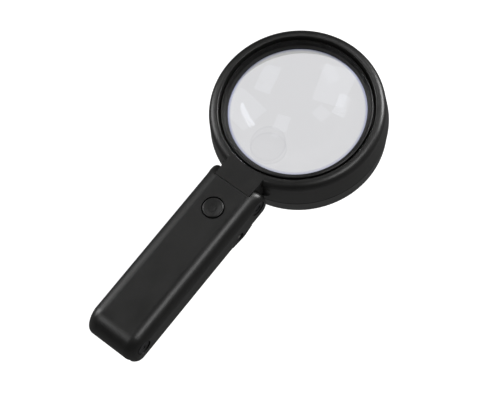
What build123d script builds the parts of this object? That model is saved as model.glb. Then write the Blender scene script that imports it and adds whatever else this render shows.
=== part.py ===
from build123d import *
from OCP.BRepFilletAPI import BRepFilletAPI_MakeFillet
import math
import os

# Folding, illuminated low vision magnifier, lying on its back with the lens facing +Z.
# Millimetres. The handle runs towards -Y. The origin is on the resting plane,
# straight below the axis of the hinge between head and handle.

# ---- head ----
lens_y = 63.2            # lens axis, from the hinge axis
lens_edge_z = 29.7       # visible front edge of the lens
aperture_r = 42.5
lens_r = 44.2            # lens with its mounting flange
flange_h = 3.0
front_sag = 4.8
back_sag = 7.4
insert_r = 11.0          # small strong lens moulded into the back surface
insert_y = -28.7         # its place, from the lens axis
insert_bulge = 1.5

face_z = 34.9            # rim crest, tongue and handle front are level
crest_r = 49.25
rim_outer_r = 54.05
rim_inner_r = 46.9
rim_drop = 3.0           # height of the steep slope inside the crest
rim_lip_r = 48.6         # inner end of the level crest
rim_lip_round = 0.6
rim_roof_z = 31.0        # underside of the rim between its two walls
pocket_wall_r = 48.5     # outside of the wall round the lens's pocket
pocket_wall_z = 28.2     # lower end of that wall
pocket_floor_t = 2.0     # ledge under the lens's flange
foot_r = 55.2            # widest radius, at the joint line
joint_z = 14.2           # joint between front shell and rear cover
rear_r = 53.7
rear_round = 0.9
rear_inner_r = 50.6      # inside of the rear cover at the resting rim
rear_flare = 0.5         # how much wider that is at the lamp shelf
cover_lip_outer_r = 52.9 # locating lip on the rear cover
cover_lip_inner_r = 51.6
cover_lip_h = 1.8
lip_draft = 0.1
fit_gap = 0.05           # between moulded parts that rest on each other
head_wall = 2.0
head_screw_circle = 48.5
seam_bevel = 0.5
bezel_r = 46.2
bezel_h = 3.9

# ---- lamps ----
led_count = 8
led_ring_r = 47.6
led_r = 2.5
shelf_z = 7.7            # underside of the rear cover's lamp shelf
shelf_t = 1.6
diffuser_r = 43.2        # inside of the white ring between the lens and the page
diffuser_t = 1.4
rebate = 0.6             # how far the shelf reaches under the diffuser
lamp_board_z = 12.0
lamp_board_t = 1.2

# ---- hinge ----
hinge_z = 24.7
knuckle_r = 8.2
tongue_half = 13.1
ear_inner = 13.3
ear_reach = 7.7          # how far the ears pass the hinge axis
hinge_pin_r = 3.0
turn_gap = 0.05          # radial clearance where a part turns on a pin
recess_r = 5.2
recess_depth = 1.4
pin_head_t = 0.9

# ---- handle ----
half_w = 19.0
end_y = -118.4
back_z = 13.5
front_t = 2.0
side_t = 3.2
edge_r = 8.0             # long front edges
end_edge_r = 6.5         # corners of the bottom end
ear_edge_r = 2.5         # ear tips
back_edge_r = 2.0
inner_edge_r = 6.0       # long edges inside, under the front edges
end_r = 13.0             # bottom end, seen from the side
inner_half = half_w - side_t
bay_y = -10.2            # start of the inside of the handle
inner_z = face_z - front_t

# ---- stand leg ----
pivot_y = -107.2
pivot_r = 2.0
leg_z = 14.5             # the folded leg lies just inside the handle's back edges
leg_t = 4.0
leg_tip_y = -8.4
leg_root_y = -103.2
leg_half = 15.6
leg_barrel_r = 7.0
leg_barrel_half = 12.0
tab_peak_y = -15.6
tab_h = 2.3
detent_y = -19.2
detent_z = 17.7
detent_r = 1.2

# ---- back cover and battery door ----
cover_z = 18.8
cover_t = 1.6
cover_end_y = -98.0
door_half = 13.3
door_top_y = -34.0
door_end_y = -84.6
door_gap = 0.2
door_screw_y = -31.2
head_inset = 0.8         # depth that a screw's head is sunk

# ---- power and switch ----
cell_r = 5.15
cell_len = 43.6
nub_h = 0.8
cell_pitch = 10.5
cell_z = 27.1
cell_top_y = -36.8
contact_t = 0.4
contact_top = 29.0
contact_tag = 32.7       # tag that the lead is soldered to
rib_t = 1.2
lead_r = 0.55
lead_z = 32.1
lead_x = 5.6
button_y = -18.0
button_r = 6.4
button_gap = 0.75
button_proud = 0.5
button_flange_r = 7.6
board_z = 24.1
board_t = 1.2
board_half = 11.0
board_end_y = -28.0

screw_r = 0.85
cover_screws = [(-12.6, -30.6), (12.6, -30.6), (-11.5, -91.0), (11.5, -91.0)]
board_screws = [(-9.2, -25.9), (9.2, -25.9), (-9.0, -12.4), (9.0, -12.4)]


# ---- helpers ----

def box(x0, x1, y0, y1, z0, z1):
    centre = ((x0 + x1) / 2, (y0 + y1) / 2, (z0 + z1) / 2)
    return Pos(*centre) * Box(x1 - x0, y1 - y0, z1 - z0)


def rod_x(radius, x0, x1, y=0.0, z=hinge_z):
    return Pos((x0 + x1) / 2, y, z) * Rot(0, 90, 0) * Cylinder(radius, abs(x1 - x0))


def rod_y(radius, y0, y1, x, z):
    return Pos(x, (y0 + y1) / 2, z) * Rot(90, 0, 0) * Cylinder(radius, abs(y1 - y0))


def rod_z(radius, z0, z1, x=0.0, y=0.0):
    return Pos(x, y, (z0 + z1) / 2) * Cylinder(radius, z1 - z0)


def turned(outline):
    """Turns a closed outline, drawn as (radius, height), about the lens axis."""
    return Pos(0, lens_y, 0) * revolve(Plane.XZ * make_face(outline), Axis.Z)


def from_side(outline, x0, x1):
    """Extrudes a closed outline, drawn as (y, z), from x0 to x1."""
    return Pos(x0, 0, 0) * extrude(Plane.YZ * make_face(outline), x1 - x0)


def around_lens(radius, degrees):
    angle = math.radians(degrees)
    return radius * math.cos(angle), lens_y + radius * math.sin(angle)


def group(solids):
    return Compound(children=list(solids))


def both_sides(shape):
    return [shape, mirror(shape, about=Plane.YZ)]


def lead(points, bends):
    """Insulated wire: straight runs joined by tangent arcs."""
    route = FilletPolyline(*points, radius=bends)
    start = Plane(origin=route @ 0, z_dir=route % 0)
    return sweep(start * Circle(lead_r), path=route)


def screw(x, y, seat_z, length, head_r=2.0, head_h=head_inset):
    """Screw pointing up: head under seat_z with a cross recess, shank above it."""
    low = seat_z - head_h
    body = rod_z(head_r, low, seat_z, x, y) + rod_z(screw_r, seat_z, seat_z + length, x, y)
    arm = head_r * 0.6
    slot = 0.28
    body -= box(x - arm, x + arm, y - slot, y + slot, low - 1, low + 0.5)
    body -= box(x - slot, x + slot, y - arm, y + arm, low - 1, low + 0.5)
    return body


# ---- head ----

def rim_outline():
    """Front shell: rounded rim, side wall, and the pocket that the lens sits in."""
    shoulder_z = face_z - (rim_outer_r - crest_r)
    slope_z = face_z - rim_drop
    ledge_z = lens_edge_z - flange_h
    pocket_r = lens_r + 0.2
    outline = CenterArc((rim_lip_r, face_z - rim_lip_round), rim_lip_round, 90, 90)
    outline += Line((rim_lip_r, face_z), (crest_r, face_z))
    outline += CenterArc((crest_r, shoulder_z), rim_outer_r - crest_r, 0, 90)
    outline += Polyline(
        (rim_outer_r, shoulder_z), (foot_r, joint_z + seam_bevel), (foot_r - seam_bevel, joint_z),
        (foot_r - head_wall, joint_z), (rim_outer_r - head_wall, rim_roof_z),
        (pocket_wall_r, rim_roof_z), (pocket_wall_r, pocket_wall_z), (rim_inner_r, pocket_wall_z),
        (rim_inner_r, ledge_z - pocket_floor_t), (aperture_r + 0.4, ledge_z - pocket_floor_t),
        (aperture_r + 0.4, ledge_z), (pocket_r, ledge_z), (pocket_r, lens_edge_z),
        (rim_inner_r, lens_edge_z), (rim_inner_r, slope_z),
        (rim_lip_r - rim_lip_round, face_z - rim_lip_round))
    return outline


def tongue():
    """Flat-topped tongue that ends in the hinge knuckle."""
    block = box(-tongue_half, tongue_half, 0, 15.0, hinge_z - knuckle_r, face_z)
    block -= rod_z(crest_r, 0, 50, 0, lens_y)
    return block + rod_x(knuckle_r, -tongue_half, tongue_half)


def wall_pad():
    """Thickens the side wall where the ears' scallops are cut into it."""
    ring = rod_z(52.5, 17.0, 31.5, 0, lens_y) - rod_z(50.0, 0, 50, 0, lens_y)
    return ring & box(-22, 22, 0, 25, 0, 50)


def ear_scallops():
    """Room in the head for the ears' corners as the head turns."""
    reach = 12.0
    side = half_w + 0.15
    return [rod_x(reach, 13.0, side), rod_x(reach, -side, -13.0)]


def head_screw_places():
    return [around_lens(head_screw_circle, angle) for angle in (45, 135, 225, 315)]


def head_front_shell():
    boss_r = 2.3
    boss_top = 31.5
    screw_end = 24.0
    stub_r = 6.5
    stub_half = tongue_half - 0.8
    lead_bore_r = 1.2
    shell = turned(rim_outline()) + tongue() + wall_pad()
    board_top = lamp_board_z + lamp_board_t
    for x, y in head_screw_places():
        shell += rod_z(boss_r, board_top, boss_top, x, y)
        shell -= rod_z(screw_r, 0, screw_end, x, y)
    shell -= rod_x(hinge_pin_r + turn_gap, -20, 20)
    shell -= rod_x(stub_r, stub_half, 20)
    shell -= rod_x(stub_r, -20, -stub_half)
    shell -= rod_y(lead_bore_r, 0, 14.0, 0, hinge_z)
    for scallop in ear_scallops():
        shell -= scallop
    return shell


def rear_outline():
    """Rear cover: side wall, resting rim, lamp shelf and locating lip."""
    shelf_top = shelf_z + shelf_t
    shelf_r = diffuser_r + diffuser_t - rebate
    lip_z = joint_z + cover_lip_h
    wall_r = foot_r - 0.1
    outline = CenterArc((rear_r - rear_round, rear_round), rear_round, 270, 90)
    outline += Polyline(
        (rear_r, rear_round), (wall_r, joint_z - seam_bevel), (wall_r - seam_bevel, joint_z),
        (cover_lip_outer_r, joint_z), (cover_lip_outer_r - lip_draft, lip_z),
        (cover_lip_inner_r, lip_z), (cover_lip_inner_r - lip_draft, shelf_top),
        (shelf_r, shelf_top), (shelf_r, shelf_z), (rear_inner_r + rear_flare, shelf_z),
        (rear_inner_r, 0), (rear_r - rear_round, 0))
    return outline


def lamp_diffuser_ring():
    """White ring that lines the way from the lens to the page, rebated onto the shelf."""
    outer = diffuser_r + diffuser_t
    shelf_top = shelf_z + shelf_t
    top = lens_edge_z - flange_h - pocket_floor_t - fit_gap
    return turned(Polyline((diffuser_r, shelf_z), (diffuser_r, top), (outer, top),
                           (outer, shelf_top), (outer - rebate, shelf_top),
                           (outer - rebate, shelf_z), (diffuser_r, shelf_z)))


def led_place(index):
    return around_lens(led_ring_r, 360 / led_count * (index + 0.5))


def head_rear_cover():
    cover = turned(rear_outline())
    for index in range(led_count):
        x, y = led_place(index)
        cover -= rod_z(led_r + 0.1, 0, lamp_board_z, x, y)
    for x, y in head_screw_places():
        cover += rod_z(2.2, shelf_z, lamp_board_z, x, y)
        cover -= rod_z(screw_r + 0.2, 0, 20, x, y)
    return cover


def lens_cap(radius, sag, edge_z, up):
    """Shallow cap of a sphere standing on (up=1) or hanging from (up=-1) edge_z."""
    ball_r = (radius ** 2 + sag ** 2) / (2 * sag)
    ball = Pos(0, 0, edge_z + up * (sag - ball_r)) * Sphere(ball_r)
    low, high = sorted((edge_z - up * 0.5, edge_z + up * (sag + 1)))
    return ball & rod_z(radius, low, high)


def insert_cap():
    """Small strong lens: a rounder cap standing out of the back surface."""
    back_r = (aperture_r ** 2 + back_sag ** 2) / (2 * back_sag)
    plane = math.sqrt(back_r ** 2 - insert_r ** 2)
    height = back_r - plane + insert_bulge
    ball_r = (insert_r ** 2 + height ** 2) / (2 * height)
    cap = rod_z(insert_r + 1, -plane - height - 1, -plane + 1.2)
    cap &= Pos(0, 0, ball_r - plane - height) * Sphere(ball_r)
    tilt = math.degrees(math.asin(insert_y / back_r))
    centre_z = lens_edge_z - flange_h - back_sag + back_r
    return Pos(0, 0, centre_z) * Rot(tilt, 0, 0) * cap


def main_lens():
    back_z0 = lens_edge_z - flange_h
    lens = rod_z(lens_r, back_z0, lens_edge_z)
    lens += lens_cap(aperture_r, front_sag, lens_edge_z, 1)
    lens += lens_cap(aperture_r, back_sag, back_z0, -1)
    lens += insert_cap()
    return Pos(0, lens_y, 0) * lens


def lens_bezel_ring():
    """Ring that holds the lens's flange down: a narrow flat beside the lens, then a steep wall."""
    inner = aperture_r + 0.1
    step_r = aperture_r + 1.7
    top = lens_edge_z + bezel_h
    return turned(Polyline((inner, lens_edge_z), (inner, lens_edge_z + 0.25),
                           (step_r, lens_edge_z + 0.6), (bezel_r - 0.5, top),
                           (bezel_r, top - 0.3), (bezel_r, lens_edge_z), (inner, lens_edge_z)))


def led_ring_board():
    board = rod_z(51.2, lamp_board_z, lamp_board_z + lamp_board_t, 0, lens_y)
    board -= rod_z(45.0, 0, 50, 0, lens_y)
    for x, y in head_screw_places():
        board -= rod_z(screw_r + 0.2, 0, 50, x, y)
    return board


def led(index):
    """Round 5 mm lamp: flange on the board, barrel, and a domed end facing the rear."""
    x, y = led_place(index)
    dome_z = shelf_z + 0.3
    lamp = rod_z(led_r, dome_z, lamp_board_z, x, y) + rod_z(2.9, lamp_board_z - 1, lamp_board_z, x, y)
    return lamp + Pos(x, y, dome_z) * Sphere(led_r)


def led_resistors():
    step = 360 / led_count
    chips = []
    for index in range(led_count):
        x, y = around_lens(led_ring_r, 10 + step * index)
        place = Pos(x, y, lamp_board_z + lamp_board_t + 0.3) * Rot(0, 0, 100 + step * index)
        chips.append(place * Box(3.2, 1.6, 0.6))
    return group(chips)


def head_screws():
    return group([screw(x, y, shelf_z, 12.0, 2.1, 1.3) for x, y in head_screw_places()])


# ---- hinge ----

def hinge_pin(hollow):
    """Right-hand pin with a dished head; the hollow one carries the lamp lead."""
    face = half_w - recess_depth
    pin = rod_x(4.7, face, face + pin_head_t) + rod_x(hinge_pin_r, 4.0, face)
    pin -= rod_x(2.4, face + 0.4, face + 2)
    if hollow:
        pin -= rod_x(1.2, 3.0, 15.0)
        pin -= Pos(15.0, 0, hinge_z) * Sphere(1.9)
        pin -= rod_y(1.1, -5.0, 0, 15.0, hinge_z)
    return pin


def hinge_washers():
    washer = rod_x(6.3, tongue_half - 0.75, ear_inner - 0.05) - rod_x(hinge_pin_r + 0.15, 0, 20)
    return group(both_sides(washer))


# ---- handle ----

def handle_outline():
    """Handle and ears from the side: level front, curved bottom end, eased ear tips."""
    end_back_r = face_z - back_z - end_r
    end_z = face_z - end_r
    ear_front_r = 9.0
    ear_back_r = 5.5
    outline = Line((ear_reach - ear_front_r, face_z), (end_y + end_r, face_z))
    outline += CenterArc((end_y + end_r, end_z), end_r, 90, 90)
    outline += CenterArc((end_y + end_back_r, end_z), end_back_r, 180, 90)
    outline += Line((end_y + end_back_r, back_z), (ear_reach - ear_back_r, back_z))
    outline += CenterArc((ear_reach - ear_back_r, back_z + ear_back_r), ear_back_r, 270, 90)
    outline += Line((ear_reach, back_z + ear_back_r), (ear_reach, face_z - ear_front_r))
    outline += CenterArc((ear_reach - ear_front_r, face_z - ear_front_r), ear_front_r, 0, 90)
    return outline


def cavity_outline():
    radius = end_r - front_t
    centre = (end_y + end_r, face_z - end_r)
    outline = Line((bay_y, inner_z), (centre[0], inner_z))
    outline += CenterArc(centre, radius, 90, 90)
    outline += Polyline((centre[0] - radius, centre[1]), (centre[0] - radius, 0), (bay_y, 0),
                        (bay_y, inner_z))
    return outline


def side_edges(shape):
    return [edge for edge in shape.edges() if abs(abs((edge @ 0.5).X) - half_w) < 0.01]


def rounding_at(point):
    """Radius of the side edges at one point of the handle's outline."""
    if point.Z < back_z + 0.02:
        return back_edge_r
    if point.Z > face_z - 0.02:
        return edge_r
    return end_edge_r if point.Y < pivot_y else ear_edge_r


def handle_block():
    """Outer form: full rounding at the front, easing to a tighter edge along the back."""
    block = from_side(handle_outline(), -half_w, half_w)
    rounding = BRepFilletAPI_MakeFillet(block.wrapped)
    for side in (-1, 1):
        edges = [edge for edge in side_edges(block) if (edge @ 0.5).X * side > 0]
        rounding.Add(edges[0].wrapped)
    for chain in range(1, rounding.NbContours() + 1):
        for place in range(1, rounding.NbEdges(chain) + 1):
            edge = Edge(rounding.Edge(chain, place))
            rounding.SetRadius(rounding_at(edge @ 0), rounding_at(edge @ 1), chain, place)
    return Solid(rounding.Shape())


def handle_shell():
    """Tray with two ears: front, sides and curved end in one moulding."""
    cavity = from_side(cavity_outline(), -inner_half, inner_half)
    long_edges = [edge for edge in cavity.edges()
                  if abs(abs((edge @ 0.5).X) - inner_half) < 0.01 and (edge @ 0.5).Z > inner_z - 0.01]
    shell = handle_block() - fillet(long_edges, inner_edge_r)
    shell -= box(-inner_half, inner_half, end_y - 1, -100, 0, hinge_z - 3.3)
    shell -= box(-ear_inner, ear_inner, -0.3, 20, 0, 50)
    shell -= rod_x(knuckle_r + 0.35, -ear_inner, ear_inner)
    shell -= box(-ear_inner, ear_inner, -8.7, 0, 0, hinge_z)
    return shell - box(-inner_half, inner_half, bay_y - 0.1, -7.9, 0, cover_z)


def inner_ribs():
    """Bay ends for the cells and the bosses for screws."""
    top = inner_z + 0.5
    cover_top = cover_z + cover_t
    bay_end = cell_top_y - cell_len
    solids = []
    for y0 in (cell_top_y + nub_h + contact_t + 0.1, bay_end - nub_h - contact_t - 0.1 - rib_t):
        rib = box(-inner_half - 0.5, inner_half + 0.5, y0, y0 + rib_t, cover_top + 0.1, top)
        for x in (-lead_x, lead_x):
            rib -= rod_y(lead_r + 0.15, y0 - 1, y0 + 3, x, lead_z)
        solids.append(rib)
    for x, y in cover_screws + [(0, door_screw_y)]:
        solids.append(rod_z(2.4, cover_top, top, x, y) - rod_z(screw_r, 0, 29, x, y))
    for x, y in board_screws:
        solids.append(rod_z(1.9, board_z + board_t, top, x, y) - rod_z(screw_r, 0, 30, x, y))
    for side in (-1, 1):
        solids.append(rod_x(6.8, side * (leg_barrel_half + 0.2), side * (inner_half + 0.5), pivot_y))
    return solids


def handle_housing():
    block = handle_block()
    shell = handle_shell()
    for solid in inner_ribs():
        shell += solid & block
    shell -= rod_z(button_r + button_gap, 30, 40, 0, button_y)
    shell -= rod_x(hinge_pin_r, -20, 20)
    shell -= rod_x(pivot_r, -20, 20, pivot_y)
    shell -= rod_x(detent_r, -20, 20, detent_y, detent_z)
    shell -= rod_y(1.0, bay_y - 0.5, 0, -15.0, hinge_z)
    for side in (-1, 1):
        floor = side * (half_w - recess_depth)
        shell -= rod_x(recess_r, floor, side * 20)
        shell -= rod_x(recess_r - 0.2, floor, side * 20, pivot_y)
        shell -= rod_x(3.2, side * (half_w - 1), side * 20, detent_y, detent_z)
    return shell


def handle_back_cover():
    top = cover_z + cover_t
    cover = box(-leg_half, leg_half, cover_end_y, bay_y - 0.2, cover_z, top)
    side = door_half + door_gap
    cover -= box(-side, side, door_end_y - door_gap, door_top_y + door_gap, 0, 50)
    cover -= box(-4.2, 4.2, door_top_y, door_screw_y + 2.8, 0, 50)
    for x, y in cover_screws:
        cover -= rod_z(screw_r + 0.2, 0, 50, x, y)
        cover -= rod_z(2.2, 0, cover_z + head_inset, x, y)
    return cover


def battery_door():
    """Door with a hook at its lower end and a screw tab at its upper end."""
    top = cover_z + cover_t
    door = box(-door_half, door_half, door_end_y, door_top_y, cover_z, top)
    door += box(-4.0, 4.0, door_top_y, door_screw_y + 2.6, cover_z, top)
    door += box(-6.0, 6.0, door_end_y - 2.0, door_end_y + 1.0, top + 0.1, top + 0.9)
    door += box(-6.0, 6.0, door_end_y, door_end_y + 1.0, cover_z, top + 0.5)
    for ridge in range(5):
        y = door_end_y + 8 + 1.6 * ridge
        door -= box(-6.5, 6.5, y, y + 0.7, 0, cover_z + 0.3)
    door -= rod_z(screw_r + 0.2, 0, 50, 0, door_screw_y)
    return door - rod_z(2.2, 0, cover_z + head_inset, 0, door_screw_y)


def handle_screws():
    return group([screw(x, y, cover_z + head_inset, 8.5) for x, y in cover_screws])


# ---- stand leg ----

def thumb_tab():
    """Raised grip beside the leg's tip, lapping over the handle's side wall."""
    low = back_z - tab_h
    outline = Polyline((-7.9, back_z - 0.1), (tab_peak_y, low), (-26.1, back_z - 0.1),
                       (-7.9, back_z - 0.1))
    tab = from_side(outline, 12.0, half_w - 0.3)
    peak = [edge for edge in tab.edges()
            if abs((edge @ 0.5).Y - tab_peak_y) < 0.01 and abs((edge @ 0.5).Z - low) < 0.01]
    tab = fillet(peak, 5.0)
    return tab + box(12.0, leg_half, -23.0, -9.0, back_z - 0.5, leg_z + 0.5)


def stand_leg():
    plate = box(-leg_half, leg_half, leg_root_y, leg_tip_y, leg_z, leg_z + leg_t)
    tip = plate.edges().filter_by(Axis.X).group_by(Axis.Y)[-1].sort_by(Axis.Z)[0]
    leg = fillet(tip, 1.2)
    leg += box(-leg_barrel_half, leg_barrel_half, leg_root_y, -98.6, leg_z, hinge_z)
    leg += rod_x(leg_barrel_r, -leg_barrel_half, leg_barrel_half, pivot_y)
    window = box(-9.0, 9.0, -86.8, -28.0, 0, leg_z + leg_t + 1)
    leg -= fillet(window.edges().filter_by(Axis.Z), 4.0)
    for tab in both_sides(thumb_tab()):
        leg += tab
    leg -= rod_x(pivot_r + turn_gap, -20, 20, pivot_y)
    for x in (-leg_half - 1.0, leg_half + 1.0):
        leg -= Pos(x, detent_y, detent_z) * Sphere(1.3)
    return leg


def leg_pivot_pins():
    face = half_w - recess_depth
    pin = rod_x(4.5, face, face + 0.8, pivot_y) + rod_x(pivot_r, 8.0, face, pivot_y)
    pin -= rod_x(1.3, face + 0.3, face + 2, pivot_y)
    return group(both_sides(pin))


def leg_detent_pins():
    pin = rod_x(detent_r, inner_half - 0.05, half_w - 0.5, detent_y, detent_z)
    rim = pin.edges().sort_by(Axis.X)[-1]
    return group(both_sides(fillet(rim, 0.4)))


# ---- switch ----

def power_button():
    """Dished cap with a raised ring-and-bar mark, a retaining flange and a stem."""
    top = face_z + button_proud
    flange_top = inner_z - 0.2
    cap = rod_z(button_r, flange_top - 1, top, 0, button_y)
    cap = fillet(cap.edges().sort_by(Axis.Z)[-1], 0.8)
    dish_r = 40.0
    cap -= Pos(0, button_y, top - 0.35 + dish_r) * Sphere(dish_r)
    mark = rod_z(2.7, top - 1, top - 0.1, 0, button_y) - rod_z(2.15, 0, 50, 0, button_y)
    mark -= box(-0.9, 0.9, button_y, button_y + 4, 0, 50)
    mark += box(-0.28, 0.28, button_y + 0.6, button_y + 3.2, top - 1, top - 0.1)
    cap += mark
    cap += rod_z(button_flange_r, flange_top - 1, flange_top, 0, button_y)
    return cap + rod_z(2.5, 30.1, flange_top - 0.5, 0, button_y)


def switch_board():
    board = box(-board_half, board_half, board_end_y, -10.8, board_z, board_z + board_t)
    for x, y in board_screws:
        board -= rod_z(screw_r + 0.2, 0, 50, x, y)
    return board


def switch_board_screws():
    return group([screw(x, y, board_z, 4.5, 1.6) for x, y in board_screws])


def switch_body():
    low = board_z + board_t
    body = box(-3, 3, button_y - 3, button_y + 3, low, 29.0)
    body = fillet(body.edges().filter_by(Axis.Z), 0.4)
    return body - rod_z(1.75, 27.0, 40, 0, button_y)


def switch_plunger():
    return rod_z(1.7, 27.6, 30.1, 0, button_y)


# ---- power ----

def cell(index):
    """AAA cell; the middle one lies the other way round."""
    x = cell_pitch * (index - 1)
    end = cell_top_y - cell_len
    body = rod_y(cell_r, end, cell_top_y, x, cell_z)
    body = fillet(body.edges().filter_by(GeomType.CIRCLE), 0.4)
    if index == 1:
        return body + rod_y(1.9, end - nub_h, end + 1, x, cell_z)
    return body + rod_y(1.9, cell_top_y - 1, cell_top_y + nub_h, x, cell_z)


def contact_plate(x0, x1, y0):
    return box(x0, x1, y0, y0 + contact_t, 22.4, contact_top)


def contact_leaf(x, face_y, towards):
    """Bent leaf that presses on a cell's flat end."""
    leaf = rod_x(nub_h, x - 2.0, x + 2.0, face_y, cell_z)
    y0, y1 = sorted((face_y, face_y + 2 * towards))
    return leaf & box(-20, 20, y0, y1, 0, 50)


def battery_contacts_top():
    y0 = cell_top_y + nub_h
    single = contact_plate(-15.2, -5.0, y0) + box(-6.2, -5.0, y0, y0 + contact_t, contact_top, contact_tag)
    pair = contact_plate(-4.2, 15.2, y0) + contact_leaf(0, y0, -1)
    return group([single, pair])


def battery_contacts_bottom():
    y0 = cell_top_y - cell_len - nub_h - contact_t
    inner_face = y0 + contact_t
    pair = contact_plate(-15.2, 4.2, y0) + contact_leaf(-cell_pitch, inner_face, 1)
    single = contact_plate(5.0, 15.2, y0) + contact_leaf(cell_pitch, inner_face, 1)
    single += box(5.0, 6.2, y0, inner_face, contact_top, contact_tag)
    return group([pair, single])


def battery_leads():
    """One lead from each end of the row of cells, each down to the switch board."""
    drop_y = -24.6
    board_top = board_z + board_t
    starts = {-lead_x: cell_top_y + nub_h + contact_t, lead_x: cell_top_y - cell_len - nub_h}
    bend = 0.45 * (lead_z - board_top)
    return group([lead([(x, y, lead_z), (x, drop_y, lead_z), (x, drop_y, board_top)], [bend])
                  for x, y in starts.items()])


def lamp_lead_handle():
    """From the switch board's edge through the left ear into the hollow pin."""
    return lead([(-board_half, -17.0, hinge_z), (-15.0, -17.0, hinge_z), (-15.0, 0, hinge_z),
                 (-9.0, 0, hinge_z)], [1.8, 1.5])


def lamp_lead_head():
    """From the hinge axis through the neck, then down to the lamp board."""
    drop_y = 15.3
    return lead([(-9.0, 0, hinge_z), (0, 0, hinge_z), (0, drop_y, hinge_z),
                 (0, drop_y, lamp_board_z + lamp_board_t)], [3.0, 1.7])


parts = {
    "handle_housing": handle_housing(),
    "handle_back_cover": handle_back_cover(),
    "battery_door": battery_door(),
    "battery_door_screw": screw(0, door_screw_y, cover_z + head_inset, 8.5),
    "handle_screws": handle_screws(),
    "stand_leg": stand_leg(),
    "leg_pivot_pins": leg_pivot_pins(),
    "leg_detent_pins": leg_detent_pins(),
    "power_button": power_button(),
    "switch_board": switch_board(),
    "switch_board_screws": switch_board_screws(),
    "switch_body": switch_body(),
    "switch_plunger": switch_plunger(),
    "battery_contacts_top": battery_contacts_top(),
    "battery_contacts_bottom": battery_contacts_bottom(),
    "battery_leads": battery_leads(),
    "lamp_lead_handle": lamp_lead_handle(),
    "lamp_lead_head": lamp_lead_head(),
    "head_front_shell": head_front_shell(),
    "head_rear_cover": head_rear_cover(),
    "main_lens": main_lens(),
    "lens_bezel_ring": lens_bezel_ring(),
    "lamp_diffuser_ring": lamp_diffuser_ring(),
    "led_ring_board": led_ring_board(),
    "led_resistors": led_resistors(),
    "head_screws": head_screws(),
    "hinge_pin_right": hinge_pin(False),
    "hinge_pin_left": mirror(hinge_pin(True), about=Plane.YZ),
    "hinge_washers": hinge_washers(),
}
for index in range(3):
    parts[f"battery_{index + 1}"] = cell(index)
for index in range(led_count):
    parts[f"led_{index + 1}"] = led(index)

os.makedirs("parts", exist_ok=True)
for name, shape in parts.items():
    export_step(shape, f"parts/{name}.step")
print(len(parts), "nodes")
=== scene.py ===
import math

import bmesh
import bpy
from mathutils import Matrix, Vector


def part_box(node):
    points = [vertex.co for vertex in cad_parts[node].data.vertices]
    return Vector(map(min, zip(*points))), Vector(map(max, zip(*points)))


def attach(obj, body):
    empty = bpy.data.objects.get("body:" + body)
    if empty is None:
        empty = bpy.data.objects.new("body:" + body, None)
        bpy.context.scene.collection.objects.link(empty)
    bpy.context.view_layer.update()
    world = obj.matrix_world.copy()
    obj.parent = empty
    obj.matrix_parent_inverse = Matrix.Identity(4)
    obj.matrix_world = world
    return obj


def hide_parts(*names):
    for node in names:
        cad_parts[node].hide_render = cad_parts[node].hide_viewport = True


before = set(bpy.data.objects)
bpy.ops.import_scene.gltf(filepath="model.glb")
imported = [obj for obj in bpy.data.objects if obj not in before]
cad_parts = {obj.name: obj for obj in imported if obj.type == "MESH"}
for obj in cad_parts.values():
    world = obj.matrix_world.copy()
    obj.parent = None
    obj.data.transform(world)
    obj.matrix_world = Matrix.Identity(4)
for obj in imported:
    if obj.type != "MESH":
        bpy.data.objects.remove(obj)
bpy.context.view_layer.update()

MM = 0.001

# ---- places read from the frame, in millimetres ----

def low(node):
    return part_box(node)[0] / MM


def high(node):
    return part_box(node)[1] / MM


lens_low = low("main_lens")
lens_high = high("main_lens")
head_y = (lens_low.y + lens_high.y) / 2

# ---- the lens, in millimetres ----

APERTURE_R = 42.5      # clear radius inside the flange
FLANGE_H = 3.0
BACK_SAG = 7.4
INSERT_R = 11.0        # small strong lens on the back surface
INSERT_Y = -28.7       # its place, from the lens axis
INSERT_BULGE = 0.35
FRONT_RINGS = 28
BACK_RINGS = 22
INSERT_RINGS = 14


# ---- materials ----

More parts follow.
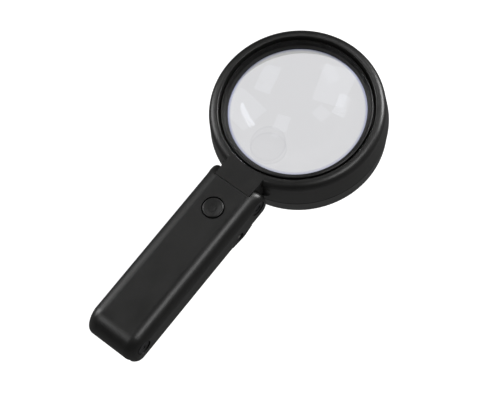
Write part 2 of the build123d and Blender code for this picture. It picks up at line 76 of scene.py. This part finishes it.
class Nodes:
    """Short way to add nodes to one material and link them."""

    def __init__(self, name):
        self.material = bpy.data.materials.new(name)
        self.material.use_nodes = True
        self.tree = self.material.node_tree
        self.shader = self.tree.nodes["Principled BSDF"]
        self.place = self.add("ShaderNodeTexCoord").outputs["Object"]

    def add(self, kind, **settings):
        node = self.tree.nodes.new(kind)
        for key, value in settings.items():
            setattr(node, key, value)
        return node

    def link(self, start, end):
        self.tree.links.new(start, end)

    def set(self, **values):
        for key, value in values.items():
            self.shader.inputs[key.replace("_", " ")].default_value = value

    def noise(self, scale, detail=4.0, roughness=0.55, stretch=(1, 1, 1)):
        mapping = self.add("ShaderNodeMapping")
        mapping.inputs["Scale"].default_value = stretch
        self.link(self.place, mapping.inputs["Vector"])
        node = self.add("ShaderNodeTexNoise")
        node.inputs["Scale"].default_value = scale
        node.inputs["Detail"].default_value = detail
        node.inputs["Roughness"].default_value = roughness
        self.link(mapping.outputs["Vector"], node.inputs["Vector"])
        return node.outputs["Fac"]

    def span(self, value, start, end, low_at=0.3, high_at=0.7):
        """Maps low_at..high_at of value onto start..end."""
        node = self.add("ShaderNodeMapRange")
        node.inputs["From Min"].default_value = low_at
        node.inputs["From Max"].default_value = high_at
        node.inputs["To Min"].default_value = start
        node.inputs["To Max"].default_value = end
        self.link(value, node.inputs["Value"])
        return node.outputs["Result"]

    def blend(self, value, first, second):
        node = self.add("ShaderNodeMix", data_type="RGBA")
        self.link(value, node.inputs["Factor"])
        for socket, colour in (("A", first), ("B", second)):
            target = [s for s in node.inputs if s.name == socket and s.type == "RGBA"][0]
            if isinstance(colour, tuple):
                target.default_value = (*colour, 1)
            else:
                self.link(colour, target)
        return [s for s in node.outputs if s.type == "RGBA"][0]

    def ramp(self, value, stops):
        """Colours along value, given as (place, colour) pairs."""
        node = self.add("ShaderNodeValToRGB")
        marks = node.color_ramp.elements
        while len(marks) < len(stops):
            marks.new(0.5)
        for mark, (place, colour) in zip(marks, stops):
            mark.position = place
            mark.color = (*colour, 1)
        self.link(value, node.inputs["Fac"])
        return node.outputs["Color"]

    def reach(self, centre_y, full):
        """Distance from the upright line through (0, centre_y), as a share of full; both in mm."""
        flat = self.add("ShaderNodeVectorMath", operation="MULTIPLY_ADD")
        flat.inputs[1].default_value = (1, 1, 0)
        flat.inputs[2].default_value = (0, -centre_y * MM, 0)
        self.link(self.place, flat.inputs[0])
        length = self.add("ShaderNodeVectorMath", operation="LENGTH")
        self.link(flat.outputs["Vector"], length.inputs[0])
        return self.span(length.outputs["Value"], 0, 1, 0, full * MM)

    def bump(self, height, strength, distance, under=None):
        node = self.add("ShaderNodeBump")
        node.inputs["Strength"].default_value = strength
        node.inputs["Distance"].default_value = distance * MM
        self.link(height, node.inputs["Height"])
        if under is not None:
            self.link(under, node.inputs["Normal"])
        return node.outputs["Normal"]


def moulded_plastic(name, colour, worn, rough, grain_mm=0.28, grain_depth=0.012):
    """Spark-textured ABS: fine grain, slow mottling and faint handling marks."""
    m = Nodes(name)
    m.set(Specular_IOR_Level=0.85, IOR=1.49)
    grain = m.noise(1 / (grain_mm * MM), 3, 0.6)
    mottle = m.noise(45, 5, 0.6)
    smear = m.noise(160, 4, 0.5, (1, 0.25, 1))
    m.link(m.blend(m.span(mottle, 0, 1), colour, worn), m.shader.inputs["Base Color"])
    tone = m.add("ShaderNodeMath", operation="ADD")
    m.link(m.span(mottle, rough - 0.03, rough + 0.03), tone.inputs[0])
    m.link(m.span(smear, -0.025, 0.03), tone.inputs[1])
    m.link(tone.outputs[0], m.shader.inputs["Roughness"])
    normal = m.bump(grain, 0.5, grain_depth)
    m.link(m.bump(mottle, 0.25, 0.05, normal), m.shader.inputs["Normal"])
    return m.material


def clear_acrylic():
    """Polished, coated lens. Its colour holds painted shade: the small lens is greyer and darkest in a
    ring at its rim, and a dark blue-grey band runs round the outer edge, where refraction shows the
    dark rim.
    """
    m = Nodes("clear_acrylic")
    m.set(Roughness=0.0, IOR=1.49, Transmission_Weight=1.0, Specular_Tint=(0.34, 0.36, 0.40, 1))
    clear = (0.965, 0.968, 0.978)
    # Painted shade: greyer over the small lens, darkest in a ring at its rim.
    small = m.ramp(m.reach(head_y + INSERT_Y, 12.0),
                   [(0.0, (0.945, 0.948, 0.958)), (0.82, (0.925, 0.928, 0.94)),
                    (0.89, (0.86, 0.862, 0.88)), (0.94, clear)])
    # Painted shade: a dark blue-grey band at the outer edge of the lens.
    edge = m.ramp(m.reach(head_y, 44.0),
                  [(0.0, (1, 1, 1)), (0.925, (1, 1, 1)), (0.955, (0.52, 0.55, 0.74))])
    both = m.add("ShaderNodeMix", data_type="RGBA", blend_type="MULTIPLY")
    both.inputs["Factor"].default_value = 1.0
    colours = [socket for socket in both.inputs if socket.type == "RGBA"]
    m.link(small, colours[0])
    m.link(edge, colours[1])
    painted = [socket for socket in both.outputs if socket.type == "RGBA"][0]
    m.link(painted, m.shader.inputs["Base Color"])
    return m.material


def metal(name, colour, rough, scratch_scale=900, stretch=(1, 0.08, 0.08)):
    """Turned or drawn steel with fine scratches along one direction."""
    m = Nodes(name)
    m.set(Metallic=1.0)
    scratch = m.noise(scratch_scale, 3, 0.6, stretch)
    cloud = m.noise(120, 3)
    dark = tuple(0.72 * value for value in colour)
    m.link(m.blend(m.span(cloud, 0, 1), colour, dark), m.shader.inputs["Base Color"])
    m.link(m.span(scratch, rough - 0.07, rough + 0.1), m.shader.inputs["Roughness"])
    m.link(m.bump(scratch, 0.3, 0.01), m.shader.inputs["Normal"])
    return m.material


def circuit_board():
    """Green solder mask over a faint copper pattern and glass weave."""
    m = Nodes("circuit_board")
    m.set(Coat_Weight=0.4, Coat_Roughness=0.15)
    weave = m.noise(1500, 2, 0.5)
    tracks = m.noise(260, 1, 0.2)
    colour = m.blend(m.span(tracks, 0, 1, 0.48, 0.52), (0.018, 0.11, 0.045), (0.03, 0.17, 0.07))
    m.link(colour, m.shader.inputs["Base Color"])
    m.link(m.span(weave, 0.3, 0.42), m.shader.inputs["Roughness"])
    m.link(m.bump(weave, 0.3, 0.01), m.shader.inputs["Normal"])
    return m.material


def lamp_epoxy():
    """Clear lamp body with a slightly milky middle."""
    m = Nodes("lamp_epoxy")
    m.set(Transmission_Weight=0.55, IOR=1.53, Specular_IOR_Level=0.6)
    cloud = m.noise(500, 2)
    colour = m.blend(m.span(cloud, 0, 1), (0.86, 0.87, 0.84), (0.95, 0.95, 0.90))
    m.link(colour, m.shader.inputs["Base Color"])
    m.link(m.span(cloud, 0.06, 0.14), m.shader.inputs["Roughness"])
    return m.material


def plain_coat(name, colour, second, rough, scale=400, coat=0.0):
    """Painted, sleeved or moulded small part with slight unevenness."""
    m = Nodes(name)
    m.set(Coat_Weight=coat, Coat_Roughness=0.1)
    cloud = m.noise(scale, 4)
    m.link(m.blend(m.span(cloud, 0, 1), colour, second), m.shader.inputs["Base Color"])
    m.link(m.span(cloud, rough - 0.05, rough + 0.06), m.shader.inputs["Roughness"])
    m.link(m.bump(cloud, 0.2, 0.02), m.shader.inputs["Normal"])
    return m.material


shell = moulded_plastic("black_shell_plastic", (0.0052, 0.0052, 0.0047), (0.0072, 0.0071, 0.0064), 0.38)
button_plastic = moulded_plastic("button_plastic", (0.0085, 0.0085, 0.0080), (0.0105, 0.0105, 0.0100),
                                 0.34, 0.2)
leg_plastic = moulded_plastic("leg_plastic", (0.0050, 0.0050, 0.0047), (0.0063, 0.0063, 0.0060), 0.40)
lens_clear = clear_acrylic()
pin_steel = metal("blackened_pin_steel", (0.10, 0.10, 0.105), 0.34)
bright_steel = metal("bright_steel", (0.62, 0.62, 0.60), 0.24)
screw_steel = metal("screw_steel", (0.36, 0.36, 0.36), 0.32)
contact_steel = metal("contact_steel", (0.70, 0.69, 0.65), 0.25)
board_green = circuit_board()
epoxy = lamp_epoxy()
washer_nylon = plain_coat("washer_nylon", (0.70, 0.68, 0.60), (0.62, 0.60, 0.52), 0.4)
switch_black = plain_coat("switch_black", (0.02, 0.02, 0.02), (0.03, 0.03, 0.03), 0.45)
cell_sleeve = plain_coat("cell_sleeve", (0.30, 0.31, 0.32), (0.36, 0.36, 0.36), 0.3, 60, 0.5)
wire_red = plain_coat("wire_red", (0.35, 0.02, 0.015), (0.42, 0.03, 0.02), 0.42)
diffuser_white = plain_coat("diffuser_white", (0.86, 0.86, 0.85), (0.82, 0.82, 0.80), 0.5, 150)
resistor_black = plain_coat("resistor_black", (0.015, 0.015, 0.018), (0.03, 0.03, 0.03), 0.35)


def paint(node, material):
    """Gives a CAD node one material."""
    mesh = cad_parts[node].data
    mesh.materials.clear()
    mesh.materials.append(material)


node_materials = {
    shell: ["handle_housing", "head_front_shell", "head_rear_cover", "lens_bezel_ring",
            "handle_back_cover", "battery_door"],
    leg_plastic: ["stand_leg"],
    button_plastic: ["power_button"],
    pin_steel: ["hinge_pin_left", "hinge_pin_right", "leg_pivot_pins"],
    bright_steel: ["leg_detent_pins"],
    screw_steel: ["handle_screws", "battery_door_screw", "head_screws", "switch_board_screws"],
    contact_steel: ["battery_contacts_top", "battery_contacts_bottom"],
    board_green: ["switch_board", "led_ring_board"],
    epoxy: [f"led_{index + 1}" for index in range(8)],
    washer_nylon: ["hinge_washers"],
    switch_black: ["switch_body", "switch_plunger"],
    cell_sleeve: [f"battery_{index + 1}" for index in range(3)],
    wire_red: ["battery_leads", "lamp_lead_handle", "lamp_lead_head"],
    resistor_black: ["led_resistors"],
    diffuser_white: ["lamp_diffuser_ring"],
}
for material, nodes in node_materials.items():
    for node in nodes:
        paint(node, material)


# ---- lens ----

def ring_points(centre_y, radius, height, count=144):
    """Points of one level ring about the lens axis, or about a place beside it."""
    points = []
    for step in range(count):
        angle = 2 * math.pi * step / count
        x = radius * math.cos(angle)
        y = centre_y + radius * math.sin(angle)
        points.append(Vector((x, head_y + y, height(x, y))) * MM)
    return points


def cap_height(radius, sag, edge_z, up):
    """Height function of a spherical cap that stands on or hangs from edge_z."""
    ball = (radius ** 2 + sag ** 2) / (2 * sag)

    def height(x, y):
        drop = math.sqrt(ball ** 2 - min(x * x + y * y, radius ** 2)) - (ball - sag)
        return edge_z + up * drop
    return height


def lens_mesh():
    """Front cap, flange and back cap, with the small strong lens blended from ring to ring."""
    flange_r = lens_high.x
    front_edge = low("lens_bezel_ring").z
    back_edge = front_edge - FLANGE_H
    front = cap_height(APERTURE_R, lens_high.z - front_edge, front_edge, 1)
    back = cap_height(APERTURE_R, BACK_SAG, back_edge, -1)

    def insert(x, y):
        reach = (x * x + (y - INSERT_Y) ** 2) / INSERT_R ** 2
        return back(x, y) - INSERT_BULGE * max(0.0, 1 - reach)

    rings = [ring_points(0, APERTURE_R * math.sin(math.radians(90 * step / FRONT_RINGS)), front)
             for step in range(1, FRONT_RINGS + 1)]
    rings.append(ring_points(0, flange_r, lambda x, y: front_edge))
    rings.append(ring_points(0, flange_r, lambda x, y: back_edge))
    sharp = [len(rings) - 3, len(rings) - 2, len(rings) - 1, len(rings)]
    for step in range(BACK_RINGS):
        share = 1 - step / BACK_RINGS
        radius = INSERT_R + (APERTURE_R - INSERT_R) * share
        rings.append(ring_points(INSERT_Y * (1 - share), radius, back))
    sharp.append(len(rings))
    for step in range(INSERT_RINGS):
        rings.append(ring_points(INSERT_Y, INSERT_R * (1 - step / INSERT_RINGS), insert))
    return rings, sharp


def make_lens():
    rings, sharp = lens_mesh()
    shape = bmesh.new()
    loops = [[shape.verts.new(point) for point in ring] for ring in rings]
    tips = [(loops[0], Vector((0, head_y * MM, lens_high.z * MM)), False)]
    last = sum(rings[-1], Vector()) / len(rings[-1])
    tips.append((loops[-1], last, True))
    for outer, inner in zip(loops, loops[1:]):
        for step, vertex in enumerate(outer):
            after = (step + 1) % len(outer)
            shape.faces.new((vertex, inner[step], inner[after], outer[after]))
    for loop, tip, turned in tips:
        middle = shape.verts.new(tip)
        for step, vertex in enumerate(loop):
            corners = (middle, vertex, loop[(step + 1) % len(loop)])
            shape.faces.new(tuple(reversed(corners)) if turned else corners)
    for face in shape.faces:
        face.smooth = True
    for index in sharp:
        loop = loops[index]
        for step, vertex in enumerate(loop):
            edge = shape.edges.get((vertex, loop[(step + 1) % len(loop)]))
            edge.smooth = False
    bmesh.ops.recalc_face_normals(shape, faces=shape.faces)
    mesh = bpy.data.meshes.new("clear_lens")
    shape.to_mesh(mesh)
    shape.free()
    mesh.materials.append(lens_clear)
    lens = bpy.data.objects.new("clear_lens", mesh)
    bpy.context.collection.objects.link(lens)
    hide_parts("main_lens")
    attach(lens, "head")


make_lens()


# ---- stage ----

def floor():
    """Pale floor that stays near white, and darker where the object's own gloss mirrors it. Seen
    through the lens its glow is dimmed, a painted shadow of the head.
    """
    m = Nodes("floor_white")
    m.set(Roughness=0.9, Specular_IOR_Level=0.0)
    path = m.add("ShaderNodeLightPath")
    mirrored = m.add("ShaderNodeMath", operation="SUBTRACT", use_clamp=True)
    m.link(path.outputs["Is Glossy Ray"], mirrored.inputs[0])
    m.link(path.outputs["Is Transmission Ray"], mirrored.inputs[1])
    # Painted shadow: the floor seen through the lens glows dimmer, as if the head shaded it.
    through_lens_painted_shadow = path.outputs["Is Transmission Ray"]
    m.link(m.blend(mirrored.outputs[0], FLOOR_COLOUR, FLOOR_MIRRORED), m.shader.inputs["Base Color"])
    glow = m.blend(mirrored.outputs[0], m.blend(through_lens_painted_shadow, FLOOR_GLOW, FLOOR_PAINTED_SHADOW_THROUGH_LENS), FLOOR_GLOSS)
    m.link(glow, m.shader.inputs["Emission Color"])
    m.set(Emission_Strength=1.0)
    bpy.ops.mesh.primitive_plane_add(size=FLOOR_SIZE, location=(0, 0, FLOOR_Z))
    piece = bpy.context.object
    piece.name = "floor"
    piece.data.materials.append(m.material)


def softbox(name, direction, wide, tall, brightness, distance=1.3):
    """Area light aimed at the object: half angles in degrees as the object sees it, and radiance."""
    away = Vector(direction).normalized()
    across = Vector((0, 0, 1)).cross(away).normalized()
    along = away.cross(across)
    data = bpy.data.lights.new(name, "AREA")
    data.shape = "RECTANGLE"
    data.size = 2 * distance * math.tan(math.radians(wide))
    data.size_y = 2 * distance * math.tan(math.radians(tall))
    data.energy = brightness * math.pi * data.size * data.size_y
    light = bpy.data.objects.new(name, data)
    bpy.context.collection.objects.link(light)
    turn = Matrix((across, along, away)).transposed().to_4x4()
    light.matrix_world = Matrix.Translation(AIM + away * distance) @ turn


def sky(level):
    world = bpy.data.worlds.new("studio")
    world.use_nodes = True
    background = world.node_tree.nodes["Background"]
    background.inputs["Color"].default_value = (1, 1, 1, 1)
    background.inputs["Strength"].default_value = level
    bpy.context.scene.world = world


def camera():
    """Looks down on the magnifier from the handle's side, rolled so the handle points lower left."""
    azimuth = math.radians(52.673)
    elevation = math.radians(66.777)
    roll = math.radians(-15.619)
    back = Vector((math.sin(azimuth) * math.cos(elevation),
                   -math.cos(azimuth) * math.cos(elevation), math.sin(elevation)))
    right = (-back).cross(Vector((0, 0, 1))).normalized()
    up = right.cross(-back)
    turned_right = math.cos(roll) * right + math.sin(roll) * up
    turned_up = math.cos(roll) * up - math.sin(roll) * right
    data = bpy.data.cameras.new("camera")
    data.sensor_width = 36.0
    data.lens = 106.74
    data.clip_start = 0.01
    eye = bpy.data.objects.new("camera", data)
    bpy.context.collection.objects.link(eye)
    rotation = Matrix((turned_right, turned_up, back)).transposed().to_4x4()
    place = Vector((0.28955, -0.21060, 0.83902)) - 0.00024 * turned_right + 0.00024 * turned_up
    eye.matrix_world = Matrix.Translation(place) @ rotation
    bpy.context.scene.camera = eye


AIM = Vector((0, 0, 0.02))
FLOOR_Z = -0.11        # below the reach of the folded head and the opened leg
FLOOR_SIZE = 6.0
FLOOR_COLOUR = (0.40, 0.40, 0.40)
FLOOR_MIRRORED = (0.04, 0.04, 0.04)       # colour and glow as the object's gloss mirrors them
FLOOR_GLOW = (0.94, 0.94, 0.94)
FLOOR_PAINTED_SHADOW_THROUGH_LENS = (0.44, 0.44, 0.45)        # glow as seen through the lens, dimmed as a painted shadow of the head on the floor
FLOOR_GLOSS = (0.085, 0.085, 0.085)
floor()
sky(0.05)
softbox("key_softbox", (0.48, 0.14, 0.87), 15, 10, 3.6)
softbox("end_softbox", (-0.33, -0.56, 0.76), 11, 9, 2.0)
softbox("left_softbox", (-0.87, -0.18, 0.45), 11, 17, 4.4)
softbox("back_softbox", (0.34, 0.86, 0.36), 13, 11, 11.0)
softbox("lens_softbox_a", (-0.21, 0.60, 0.77), 6, 9, 2.8)
softbox("lens_softbox_b", (-0.60, 0.14, 0.78), 6, 8, 2.4)
camera()
bpy.context.scene.view_settings.view_transform = "Standard"
